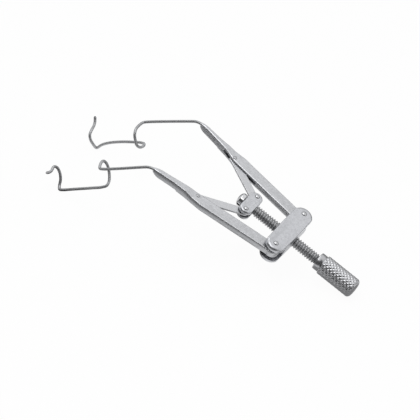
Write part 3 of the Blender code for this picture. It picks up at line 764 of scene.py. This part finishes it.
def makeYoke(values, head):
    outline = yokeOutline(values)
    wide, length = values["width"], values["length"]
    lobe, side = values["lobeRounding"], values["sideRounding"]
    reach = (length - wide) / 2
    shares = [ease((abs(point.y) - reach) / (2 * lobe)) for point in outline]
    rounding = [between((side, lobe), share) for share in shares]
    half = values["height"] / 2
    block = softBlock(outline, -half, half, rounding, values["barrel"], rings=7, flanks=6)
    block = toObject(block, "yoke")
    gap = half - values["plate"]
    for sign in (1, -1):
        near = values["web"] / 2
        corners = ((-wide, near), (wide, near), (wide, length), (-wide, length))
        corners = [Vector(corner) for corner in corners]
        slot = softBlock(corners, -gap, gap, values["slotRounding"], rings=2, flanks=1)
        if sign < 0:
            bmesh.ops.rotate(slot, verts=slot.verts, matrix=Matrix.Rotation(math.pi, 3, "Z"))
        cut(block, slot)
        aside = sign * values["rivetSpacing"] / 2
        drill(block, 0.0, aside, values["rivetBore"], values["height"])
        sinkSeat(block, 0.0, aside, half, head)
    cut(block, lathe([(-wide, values["screwBore"]), (wide, values["screwBore"])], 48))
    return block


fitPiece(makeYoke(rearYoke, rivets["pivot"]["head"]), "rearYokeBlock", "rear_yoke", "rear_yoke",
         "blockSatin")
fitPiece(makeYoke(frontYoke, rivets["front"]["head"]), "frontYokeBlock", "front_yoke", "front_yoke",
         "blockSatin", Matrix.Translation((-frontYoke["ahead"], 0.0, 0.0)))


# Arms: flat bars with an eye and hub behind, a saw cut for the link, and a slim nose in front
arm = {
    "angle": math.radians(7.5), "width": 3.24, "thickness": 1.7, "eyeRadius": 1.8,
    "hubRadius": 1.25, "hubReach": 1.55, "length": 35.6, "deeper": 0.15,
    "rounding": 0.27, "barrel": 0.11, "proud": 0.13,
    "shoulderBehindTip": 17.0, "bendBehindTip": 13.6,
    "outer": ((15.0, 1.46), (13.0, 1.15), (10.2, 0.68), (7.8, 0.4), (5.6, 0.28), (2.6, 0.26)),
    "inner": ((11.6, 1.4), (9.8, 1.2), (7.7, 1.03), (5.9, 0.92), (4.1, 0.8), (1.7, 0.7)),
    "straightAt": (4.0, 8.0, 12.0, 16.0),
    "tipOuter": 0.33, "tipInner": 0.69, "outerShare": 0.4, "innerShare": 0.6, "tipRounding": 0.24,
    "noseBehindTip": 7.4, "noseUnderside": -0.72, "noseRamp": 0.3, "reliefBelow": 0.05,
    "reliefReach": 3.0,
    "noseLift": 0.36, "liftFrom": 23.4, "liftOver": 3.0, "liftDepth": 0.5, "drawnFrom": 26.0,
    "pivotBore": 0.525, "linkBore": 0.39, "linkRivetBehindTip": 12.9, "linkRivetInward": 0.72,
    "sawRadius": 10.0, "sawWidth": 0.72, "sawBehindRivet": 2.0, "sawPastRivet": 1.45,
    "wireSocket": 2.24, "wireLift": 0.235, "socketRadius": 0.38, "socketWall": 0.03,
    "taper": 2.2, "taperTo": 0.6, "taperSteps": 8,
}
# each nose was forged and bent by hand, so the two differ a little
noses = {
    "right": {"outer": 0.20, "inner": -0.22, "shorter": 0.7},
    "left": {"outer": 0.16, "inner": 0.22, "shorter": 0.1},
}


def tipHalves(side):
    # how far the tip reaches outward and inward of the arm's middle line
    outer, inner = noses[side]["outer"], noses[side]["inner"]
    return arm["tipOuter"] + arm["outerShare"] * outer, arm["tipInner"] + arm["innerShare"] * inner


def wireAside(side):
    outer, inner = tipHalves(side)
    return (outer - inner) / 2


def armOutline(side):
    half = arm["width"] / 2
    grip = math.asin(half / arm["eyeRadius"])
    eye = arcPoints((0.0, 0.0), arm["eyeRadius"], math.tau - grip, grip, 40)
    length, corner = arm["length"], arm["tipRounding"]
    tipOuter, tipInner = tipHalves(side)

    def flank(behindTip, edge, tip):
        points = [(length - arm[behindTip], half)]
        points += [(length - x, y + noses[side][edge]) for x, y in arm[edge]]
        lead = [Vector((x, half)) for x in arm["straightAt"]]
        return lead + smoothLine(points + [(length - corner, tip)])

    outer = flank("shoulderBehindTip", "outer", tipOuter)
    inner = flank("bendBehindTip", "inner", tipInner)
    blunt = arcPoints((length - corner, tipOuter - corner), corner, math.pi / 2, 0.0, 4)[1:]
    blunt += arcPoints((length - corner, corner - tipInner), corner, 0.0, -math.pi / 2, 4)[:-1]
    return eye + outer + blunt + [Vector((point.x, -point.y)) for point in inner][::-1]


def pivotPlace(sign):
    turn = Matrix.Rotation(math.pi - sign * arm["angle"], 4, "Z")
    return Matrix.Translation((0.0, sign * rearYoke["rivetSpacing"] / 2, 0.0)) @ turn


def sliceAcross(bar, start, reach, count):
    # cuts across the bar, so that it can be bent and drawn there
    shape = bmesh.new()
    shape.from_mesh(bar.data)
    for i in range(count):
        x = start + reach * i / arm["taperSteps"]
        everything = shape.verts[:] + shape.edges[:] + shape.faces[:]
        bmesh.ops.bisect_plane(shape, geom=everything, dist=1e-5, plane_co=(x, 0.0, 0.0),
                               plane_no=(1.0, 0.0, 0.0))
    shape.to_mesh(bar.data)
    shape.free()


def dressTip(bar, aside):
    # the nose is filed down round the wire over its last few millimetres
    start = arm["length"] - arm["taper"]
    sliceAcross(bar, start, arm["taper"], arm["taperSteps"])
    least = arm["socketRadius"] + arm["socketWall"]
    for vertex in bar.data.vertices:
        share = (vertex.co.x - start) / arm["taper"]
        across = math.hypot(vertex.co.y - aside, vertex.co.z - arm["wireLift"])
        if share <= 0.0 or across <= least:
            continue
        scale = max(1.0 - (1.0 - arm["taperTo"]) * share**2, least / across)
        vertex.co.y = aside + (vertex.co.y - aside) * scale
        vertex.co.z = arm["wireLift"] + (vertex.co.z - arm["wireLift"]) * scale


def bendNose(bar, side):
    # the nose stands a little proud of the arm's top face and is drawn back to its own length
    sliceAcross(bar, arm["liftFrom"], arm["liftOver"], arm["taperSteps"] + 1)
    full = arm["length"] - arm["drawnFrom"]
    drawn = (full - noses[side]["shorter"]) / full
    for vertex in bar.data.vertices:
        share = ease((vertex.co.x - arm["liftFrom"]) / arm["liftOver"])
        share *= min(1.0, max(0.0, (vertex.co.z + arm["thickness"] / 2) / arm["liftDepth"]))
        vertex.co.z += arm["noseLift"] * share
        if vertex.co.x > arm["drawnFrom"]:
            vertex.co.x = arm["drawnFrom"] + (vertex.co.x - arm["drawnFrom"]) * drawn


def noseRelief():
    # what the file takes off under the nose
    nose, reach = arm["length"] - arm["noseBehindTip"], arm["reliefReach"]
    end, below, underside = arm["length"] + reach, -arm["thickness"], arm["noseUnderside"]
    step = [(nose - arm["noseRamp"], below), (end, below), (end, underside), (nose, underside),
            (nose - arm["noseRamp"], below / 2 - arm["reliefBelow"])]
    relief = bmesh.new()
    near, far = ([relief.verts.new((x, y, z)) for x, z in step] for y in (-reach, reach))
    relief.faces.new(near)
    relief.faces.new(far[::-1])
    joinRings(relief, [near, far])
    return relief


def makeArm(side):
    out = -sides[side]
    outline = [Vector((point.x, out * point.y)) for point in armOutline(side)]
    half = arm["thickness"] / 2
    bar = softBlock(outline, -half - arm["deeper"], half, arm["rounding"], arm["barrel"], flanks=8,
                    proud=arm["proud"])
    bar = toObject(bar, "bar")
    reach, radius = arm["hubReach"], arm["hubRadius"]
    cut(bar, latheUpright([(-reach, radius), (reach, radius)], 48), "UNION")
    drill(bar, 0.0, 0.0, arm["pivotBore"], 4.0)
    along, outward = linkRivetSpot()
    drill(bar, along, out * outward, arm["linkBore"], 4.0)
    sinkSeat(bar, along, out * outward, half, rivets["link"]["head"], arm["deeper"])
    reach, radius = arm["sawWidth"] / 2, arm["sawRadius"]
    floor = outward + arm["sawPastRivet"]
    drill(bar, along - arm["sawBehindRivet"], out * (floor - radius), radius, reach, 160)
    cut(bar, noseRelief())
    reach, radius = arm["wireSocket"], arm["socketRadius"]
    socket = lathe([(-reach, radius), (reach, radius)], 32)
    aside = out * wireAside(side)
    bmesh.ops.translate(socket, verts=socket.verts, vec=(arm["length"], aside, arm["wireLift"]))
    cut(bar, socket)
    dressTip(bar, aside)
    bendNose(bar, side)
    return bar


def linkRivetSpot():
    # along the arm and outward from its middle line
    return arm["length"] - arm["linkRivetBehindTip"], -arm["linkRivetInward"]


for side, sign in sides.items():
    fitPiece(makeArm(side), f"{side}ArmBar", f"{side}_arm", f"{side}_arm", "armSatin",
             pivotPlace(sign))


# Links: flat strips from the arms' rivets to the front yoke's
link = {"width": 2.3, "thickness": 0.5, "rounding": 0.1, "armEye": 0.4, "yokeEye": 0.8}


def linkEnds(sign):
    along, outward = linkRivetSpot()
    ahead = along * math.cos(arm["angle"]) - outward * math.sin(arm["angle"])
    aside = along * math.sin(arm["angle"]) + outward * math.cos(arm["angle"])
    start = Vector((-ahead, sign * (rearYoke["rivetSpacing"] / 2 + aside)))
    end = Vector((-frontYoke["ahead"], sign * frontYoke["rivetSpacing"] / 2))
    return start, end


def makeLink(sign):
    start, end = linkEnds(sign)
    reach = (end - start).length
    radius, half = link["width"] / 2, link["thickness"] / 2
    outline = arcPoints((0.0, 0.0), radius, math.pi / 2, 3 * math.pi / 2, 32)
    outline += [Vector((reach * share, -radius)) for share in (0.25, 0.5, 0.75)]
    outline += arcPoints((reach, 0.0), radius, -math.pi / 2, math.pi / 2, 32)
    outline += [Vector((reach * share, radius)) for share in (0.75, 0.5, 0.25)]
    strip = toObject(softBlock(outline, -half, half, link["rounding"], rings=4, flanks=2), "strip")
    drill(strip, 0.0, 0.0, link["armEye"], 2.0)
    drill(strip, reach, 0.0, link["yokeEye"], 2.0)
    turn = math.atan2(end.y - start.y, end.x - start.x)
    return strip, Matrix.Translation((start.x, start.y, 0.0)) @ Matrix.Rotation(turn, 4, "Z")


for side, sign in sides.items():
    strip, place = makeLink(sign)
    fitPiece(strip, f"{side}LinkStrip", f"{side}_link", f"{side}_link", "linkStrip", place)


# Rivets: a shank with a domed head at either end, sunk a little into its seat
headForm = {"sunk": 0.03, "under": 0.01, "edge": 0.03, "rim": 0.02, "taller": 0.04}


def makeRivet(values):
    seat = values["grip"] / 2 - headForm["sunk"]
    dome, head = values["headHeight"] + headForm["taller"], values["head"]
    top = [(seat - headForm["under"], values["shank"]), (seat, head - headForm["edge"])]
    for left, come in quarterTurn(10):
        top.append((seat + headForm["rim"] + dome * (1 - left), head * (1 - come)))
    bottom = [(-distance, radius) for distance, radius in reversed(top)]
    return toObject(latheUpright(bottom + top, 40), "rivet")


for side, sign in sides.items():
    at = Matrix.Translation((0.0, sign * rearYoke["rivetSpacing"] / 2, 0.0))
    fitPiece(makeRivet(rivets["pivot"]), f"{side}PivotRivet", "rear_yoke", f"{side}_pivot_rivet",
             "rivetHead", at)
    along, outward = linkRivetSpot()
    at = pivotPlace(sign) @ Matrix.Translation((along, -sign * outward, 0.0))
    fitPiece(makeRivet(rivets["link"]), f"{side}LinkRivet", f"{side}_arm", f"{side}_link_rivet",
             "flushRivet", at)
    at = Matrix.Translation((-frontYoke["ahead"], sign * frontYoke["rivetSpacing"] / 2, 0.0))
    fitPiece(makeRivet(rivets["front"]), f"{side}FrontRivet", "front_yoke", f"{side}_front_rivet",
             "rivetHead", at)


# Screw: a right-hand thread with a neck and peg in front and a tail in the knob
screw = {
    "major": 1.45, "depth": 0.36, "pitch": 0.7, "turnSteps": 48, "fade": 0.35,
    "neck": 0.8, "peg": 0.55, "pegLength": 1.0, "tail": 1.0, "tailLength": 6.5,
    "start": -9.85, "end": 10.05, "flat": 0.08, "flank": 0.8, "plainEnd": 0.1, "neckGap": 0.05,
    "phases": (0.0, 0.06, 0.16, 0.26, 0.36, 0.45, 0.5, 0.55, 0.64, 0.74, 0.84, 0.94),
}


def threadHeight(phase):
    # 0 at the root and 1 at the crest, with a small flat at each
    rise = (min(phase, 1.0 - phase) * 2.0 - screw["flat"]) / screw["flank"]
    return ease(rise) * 0.5 + min(1.0, max(0.0, rise)) * 0.5


def makeScrew():
    shape = bmesh.new()
    deep = shape.verts.layers.float.new("deep")
    phases, steps, start, end = screw["phases"], screw["turnSteps"], screw["start"], screw["end"]
    root = screw["major"] - screw["depth"]
    turns = math.ceil((end - start) / screw["pitch"]) + 1
    rows = []
    for j in range(-len(phases), turns * len(phases) + 1):
        whole, part = divmod(j, len(phases))
        rows.append([])
        for i in range(steps + 1):
            x = start + screw["pitch"] * (whole + phases[part] + i / steps)
            near = min(x - start, end - x) - screw["plainEnd"]
            height = threadHeight(phases[part]) * ease(near / screw["fade"])
            angle = math.tau * i / steps
            radius = root + screw["depth"] * height
            x = min(end, max(start, x))
            vertex = shape.verts.new((x, radius * math.cos(angle), radius * math.sin(angle)))
            # deep: painted shade in the thread's roots
            vertex[deep] = 1.0 - height
            rows[-1].append(vertex)
    for first, second in zip(rows, rows[1:]):
        for corners in zip(first, second, second[1:], first[1:]):
            if max(v.co.x for v in corners) - min(v.co.x for v in corners) > 1e-6:
                shape.faces.new(corners)
    neckEnd = -frontYoke["ahead"] - frontYoke["width"] / 2 - screw["neckGap"]
    pegEnd, tailEnd = neckEnd - screw["pegLength"], end + screw["tailLength"]
    turnProfile(shape, [(pegEnd, 0.0), (pegEnd, screw["peg"]), (neckEnd, screw["peg"]),
                        (neckEnd, screw["neck"]), (start, screw["neck"]), (start, root)], steps)
    tail = screw["tail"]
    turnProfile(shape, [(end, root), (end, tail), (tailEnd, tail), (tailEnd, 0.0)], steps)
    return toObject(shape, "screw")


threaded = makeScrew()
shadeFine(threaded, 50.0)
fitPiece(threaded, "driveScrewThread", "screw", "drive_screw", "cutThread", weighted=False)


# Knob: a plain turned collar, then a knurled grip with a domed end
knob = {
    "start": 10.1, "collarRadius": 2.3, "collarLength": 1.75, "collarEdge": 0.25,
    "gripRadius": 2.65, "gripLength": 10.2, "gripFrontEdge": 0.22, "endDome": 0.95, "endCrown": 1.4,
    "starts": 16, "axialPitch": 1.08, "knurlDepth": 0.11, "flank": 0.72, "stepsRound": 256,
    "stepsPerPitch": 14, "frontFade": 0.25, "domeKnurl": 0.35, "domeFade": 0.3,
    "tipWearAndHighlightFrom": 0.62, "tipWearAndHighlightOver": 0.3, "bore": 1.04, "boreDepth": 6.5, "boreChamfer": 0.1,
    "collarRelief": ((0.18, 0.0), (0.1, 0.06), (0.0, 0.08)),
    "endDimple": ((0.4, 0.0), (0.3, 0.08), (0.0, 0.14)),
}


def knurlHeight(x, angle):
    # 0 in a groove and 1 on a blunt tip, from two crossing sets of helical grooves
    height = 1.0
    for hand in (1, -1):
        phase = (knob["starts"] * angle / math.tau + hand * x / knob["axialPitch"]) % 1.0
        height = min(height, ease((1.0 - abs(2.0 * phase - 1.0)) / knob["flank"]))
    return height


def knobProfile():
    # (distance along, radius, part): part 0 is the collar and bore, 1 the grip, 2 the end
    start, collar, grip = knob["start"], knob["collarRadius"], knob["gripRadius"]
    shoulder = start + knob["collarLength"]
    end = shoulder + knob["gripLength"]
    bore, depth, edge = knob["bore"], start + knob["boreDepth"], knob["collarEdge"]
    chamfer = knob["boreChamfer"]
    profile = [(depth, 0.0, 0), (depth, bore, 0)]
    profile += [(start + chamfer, bore, 0), (start, bore + chamfer, 0)]
    for left, come in quarterTurn(6)[::-1]:
        profile.append((start + edge * left, collar - edge * come, 0))
    profile += [(shoulder - back, collar - sink, 0) for back, sink in knob["collarRelief"]]
    edge = knob["gripFrontEdge"]
    for left, come in quarterTurn(4)[:-1]:
        profile.append((shoulder + edge * come, grip - edge * left, 1))
    straight = knob["gripLength"] - edge - knob["endDome"]
    count = round(straight / knob["axialPitch"] * knob["stepsPerPitch"])
    profile += [(shoulder + edge + straight * i / count, grip, 1) for i in range(count + 1)]
    dome, crown = knob["endDome"], knob["endCrown"]
    profile += [(end - dome * left, grip - crown * come, 2) for left, come in quarterTurn(12)[1:]]
    return profile + [(end - sink, radius, 2) for radius, sink in knob["endDimple"]]


def makeKnob():
    shape = bmesh.new()
    deep = shape.verts.layers.float.new("deep")
    tipWearAndHighlight = shape.verts.layers.float.new("edge")
    shoulder, grip = knob["start"] + knob["collarLength"], knob["gripRadius"]
    tipWearAndHighlightFrom, tipWearAndHighlightOver = knob["tipWearAndHighlightFrom"], knob["tipWearAndHighlightOver"]
    profile = knobProfile()
    rings = []
    for x, radius, part in profile:
        fade = 0.0
        if part == 1:
            fade = ease((x - shoulder) / knob["frontFade"])
        elif part == 2 and radius > grip - knob["domeKnurl"]:
            fade = ease((radius - grip + knob["domeKnurl"]) / knob["domeFade"])
        rings.append([])
        for i in range(knob["stepsRound"] if radius else 1):
            angle = math.tau * i / knob["stepsRound"]
            height = 1.0 - (1.0 - knurlHeight(x, angle)) * fade
            reach = radius - knob["knurlDepth"] * (1.0 - height)
            vertex = shape.verts.new((x, reach * math.cos(angle), reach * math.sin(angle)))
            # deep: painted shade in the knurl's grooves; edge: painted highlight on the tips, with
            # the wear of handling
            vertex[deep] = max(0.0, min(1.0, 1.0 - height))
            vertex[tipWearAndHighlight] = ease((height - tipWearAndHighlightFrom) / tipWearAndHighlightOver) if part == 1 else 0.0
            rings[-1].append(vertex)
    parts = [part for x, radius, part in profile]
    finish = [1 if 1 in pair else min(pair) for pair in zip(parts, parts[1:])]
    joinRings(shape, rings, finish)
    return toObject(shape, "knob")


turnedKnob = makeKnob()
turnedKnob.data.shade_smooth()
fitPiece(turnedKnob, "knurledKnob", "screw", "knob",
         ["turnedCollar", "knurledGrip", "turnedCollar"], weighted=False)


# Swivel cap: a polished dome in front of the front yoke
cap = {
    "radius": 1.8, "edge": 0.14, "rim": 0.75, "dome": 0.95, "bore": 0.59, "pegLength": 1.0,
    "gap": 0.1,
}


def makeCap():
    back = -frontYoke["ahead"] - frontYoke["width"] / 2 - cap["gap"]
    inner = back - cap["pegLength"]
    radius, edge = cap["radius"], cap["edge"]
    profile = [(inner, 0.0), (inner, cap["bore"]), (back, cap["bore"])]
    profile += [(back - edge * come, radius - edge * left) for left, come in quarterTurn(5)]
    for left, come in quarterTurn(16)[1:]:
        profile.append((back - cap["rim"] - cap["dome"] * (1 - left), radius * (1 - come)))
    return toObject(lathe(profile, 64), "cap")


fitPiece(makeCap(), "polishedCap", "screw", "swivel_cap", "polishedCap")


# Wire blades: one length of round wire each, bent by hand
wire = {
    "bend": 1.7, "bendSteps": 6, "radius": 0.36, "sidesRound": 20, "lead": 1.0,
    "slope": math.radians(49.8), "endRounding": 0.2, "endSteps": 5, "sunk": 2.16, "turnIn": 0.25,
}
bladeCorner = {"right": Vector((-47.2, 11.8, -11.26)), "left": Vector((-46.8, 11.8, -11.24))}

# From each corner, in millimetres: forward down the slope, outward, and down across the slope
bladeRoute = {
    "right": (
        (0.0, 0.0, 0.0), (0.0, -1.9, -0.15), (0.0, -3.9, 0.05), (0.05, -5.0, 1.0),
        (0.36, -5.05, 2.39), (0.67, -4.9, 3.73), (0.45, -4.3, 4.81), (0.13, -3.1, 5.13),
        (0.29, -2.4, 4.92), (1.32, -2.05, 4.71), (2.8, -1.95, 4.5), (7.16, -2.0, 4.02),
        (10.8, -2.0, 4.01), (13.21, -2.1, 4.32), (15.04, -2.4, 4.88), (15.1, -3.0, 3.67),
        (15.2, -3.25, 2.05), (15.08, -2.95, 0.82), (14.9, -1.9, 0.13), (15.05, -0.15, -0.22),
        (14.95, 0.65, -0.88), (14.77, 1.2, -1.99),
    ),
    "left": (
        (0.0, 0.0, 0.0), (0.0, -1.2, -0.65), (0.0, -2.6, -0.85), (0.0, -3.5, -0.05),
        (0.0, -3.75, 1.25), (0.0, -3.3, 3.0), (0.0, -2.1, 4.6), (0.35, -1.0, 5.25),
        (1.6, -0.55, 5.35), (5.0, -0.45, 5.3), (10.0, -0.4, 5.2), (13.7, -0.45, 5.15),
        (14.8, -0.9, 5.1), (15.05, -1.7, 4.5), (14.65, -2.5, 3.2), (14.35, -2.8, 1.4),
        (14.3, -2.45, -0.2), (14.35, -1.4, -1.0), (14.4, 0.1, -0.62), (14.6, 0.9, -0.7),
        (14.8, 1.6, -1.0),
    ),
}


def bladeLine(side):
    angle = arm["angle"]
    along = Vector((-math.cos(angle), math.sin(angle), 0.0))
    outward = Vector((math.sin(angle), math.cos(angle), 0.0))
    root = Vector((0.0, rearYoke["rivetSpacing"] / 2, arm["wireLift"] + arm["noseLift"]))
    root += outward * wireAside(side)
    tip = root + along * (arm["length"] - noses[side]["shorter"])
    corner = bladeCorner[side]
    bend = tip + along * wire["lead"]
    leg = (corner - bend).normalized()
    forward = Vector((-math.cos(wire["slope"]), 0.0, -math.sin(wire["slope"])))
    down = Vector((math.sin(wire["slope"]), 0.0, -math.cos(wire["slope"])))
    hook = [corner + ahead * forward + Vector((0.0, out, 0.0)) + below * down
            for ahead, out, below in bladeRoute[side]]
    turn = (hook[1] - hook[0]).normalized() - leg
    leaving = []
    for i in range(wire["bendSteps"] + 1):
        share = i / wire["bendSteps"]
        leaving.append(bend + (leg * share**2 - along * (1 - share) ** 2) * wire["bend"])
    arriving = [corner - leg, corner + turn * wire["turnIn"]]
    return [tip - along * wire["sunk"]] + smoothLine(leaving + arriving + hook[1:])


def makeBlade(side):
    sign, rounding = sides[side], wire["endRounding"]
    line = [Vector((point.x, sign * point.y, point.z)) for point in bladeLine(side)]
    # the last of the wire is dressed round
    last = (line[-1] - line[-2]).normalized()
    radii = [wire["radius"]] * len(line)
    stop = line[-1]
    line[-1] = stop - last * rounding
    for left, come in quarterTurn(wire["endSteps"])[1:]:
        line.append(stop - last * rounding * left)
        radii.append(wire["radius"] - rounding * come)
    shape = bmesh.new()
    direction = (line[1] - line[0]).normalized()
    across = direction.orthogonal().normalized()
    rings = []
    for i, (point, radius) in enumerate(zip(line, radii)):
        if i >= len(line) - wire["endSteps"]:
            direction = last
        elif i:
            before, after = point - line[i - 1], line[i + 1] - point
            direction = (before.normalized() + after.normalized()).normalized()
        across = (across - direction * across.dot(direction)).normalized()
        up = direction.cross(across)
        turns = [math.tau * k / wire["sidesRound"] for k in range(wire["sidesRound"])]
        rings.append([shape.verts.new(point + (across * math.cos(a) + up * math.sin(a)) * radius)
                      for a in turns])
    joinRings(shape, rings)
    shape.faces.new(rings[0][::-1])
    shape.faces.new(rings[-1])
    return toObject(shape, "blade")


for side in sides:
    fitPiece(makeBlade(side), f"{side}BladeWire", f"{side}_arm", f"{side}_wire_blade", "drawnWire")

print("all pieces are fitted")
